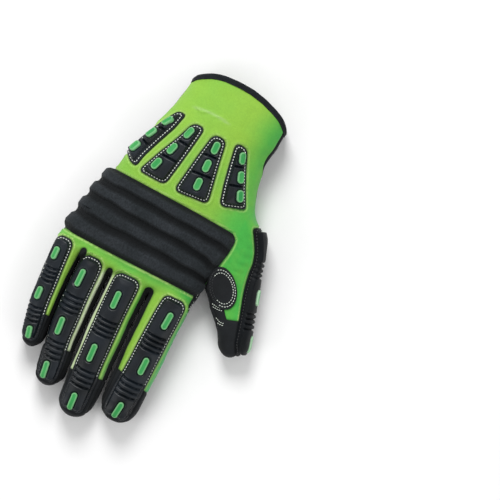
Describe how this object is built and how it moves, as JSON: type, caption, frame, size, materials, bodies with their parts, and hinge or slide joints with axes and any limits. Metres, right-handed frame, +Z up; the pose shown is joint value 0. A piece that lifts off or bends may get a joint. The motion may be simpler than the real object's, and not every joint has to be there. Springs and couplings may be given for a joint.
{
  "type": "impact-guarded cut-resistant work glove",
  "caption": "Right-hand work glove lying palm down: lime knit back, black palm, ribbed knuckle pad, moulded rubber guards with green inserts, open bound cuff.",
  "frame": {"origin": "middle of the glove's footprint, on the surface that it lies on", "axes": "+Y from the fingertips to the cuff, +X across the hand towards the thumb, +Z up out of the back of the hand"},
  "size_m": [0.154, 0.2592, 0.0482],
  "materials": {
    "lime_fabric": "fine stretch knit, soft sheen",
    "palm_suede": "matte synthetic suede",
    "grip_suede": "matte grained grip patch",
    "black_knit": "matte stretch knit",
    "padded_knit": "padded stretch knit",
    "binding_tape": "matte woven binding",
    "guard_rubber": "satin moulded rubber",
    "tab_rubber": "satin moulded rubber"
  },
  "bodies": {
    "root": {"back_panel": "lime_fabric", "palm_panel": "palm_suede", "back_sleeve_little": "lime_fabric", "palm_sleeve_little": "palm_suede", "back_sleeve_ring": "lime_fabric", "palm_sleeve_ring": "palm_suede", "back_sleeve_middle": "lime_fabric", "palm_sleeve_middle": "palm_suede", "back_sleeve_index": "lime_fabric", "palm_sleeve_index": "palm_suede", "back_sleeve_thumb": "lime_fabric", "palm_sleeve_thumb": "palm_suede", "cuff_binding": "binding_tape", "thumb_saddle_patch": "grip_suede", "fourchette_little_ring": "black_knit", "fourchette_ring_middle": "black_knit", "fourchette_middle_index": "black_knit", "fingertip_little": "palm_suede", "fingertip_ring": "palm_suede", "fingertip_middle": "palm_suede", "fingertip_index": "palm_suede", "thumb_tip": "palm_suede", "finger_guard_little": "guard_rubber", "finger_tab_little_1": "tab_rubber", "finger_tab_little_2": "tab_rubber", "finger_tab_little_3": "tab_rubber", "finger_guard_ring": "guard_rubber", "finger_tab_ring_1": "tab_rubber", "finger_tab_ring_2": "tab_rubber", "finger_tab_ring_3": "tab_rubber", "finger_guard_middle": "guard_rubber", "finger_tab_middle_1": "tab_rubber", "finger_tab_middle_2": "tab_rubber", "finger_tab_middle_3": "tab_rubber", "finger_guard_index": "guard_rubber", "finger_tab_index_1": "tab_rubber", "finger_tab_index_2": "tab_rubber", "finger_tab_index_3": "tab_rubber", "hand_guard_little": "guard_rubber", "hand_tab_little_1": "tab_rubber", "hand_tab_little_2": "tab_rubber", "hand_tab_little_3": "tab_rubber", "hand_guard_ring": "guard_rubber", "hand_tab_ring_1": "tab_rubber", "hand_tab_ring_2": "tab_rubber", "hand_tab_ring_3": "tab_rubber", "hand_guard_middle": "guard_rubber", "hand_tab_middle_1": "tab_rubber", "hand_tab_middle_2": "tab_rubber", "hand_tab_middle_3": "tab_rubber", "hand_guard_index": "guard_rubber", "hand_tab_index_1": "tab_rubber", "hand_tab_index_2": "tab_rubber", "hand_tab_index_3": "tab_rubber", "thumb_guard": "guard_rubber", "thumb_tab_1": "tab_rubber", "thumb_tab_2": "tab_rubber", "knuckle_pad": "padded_knit", "palm_patch": "grip_suede"}
  },
  "joints": []
}
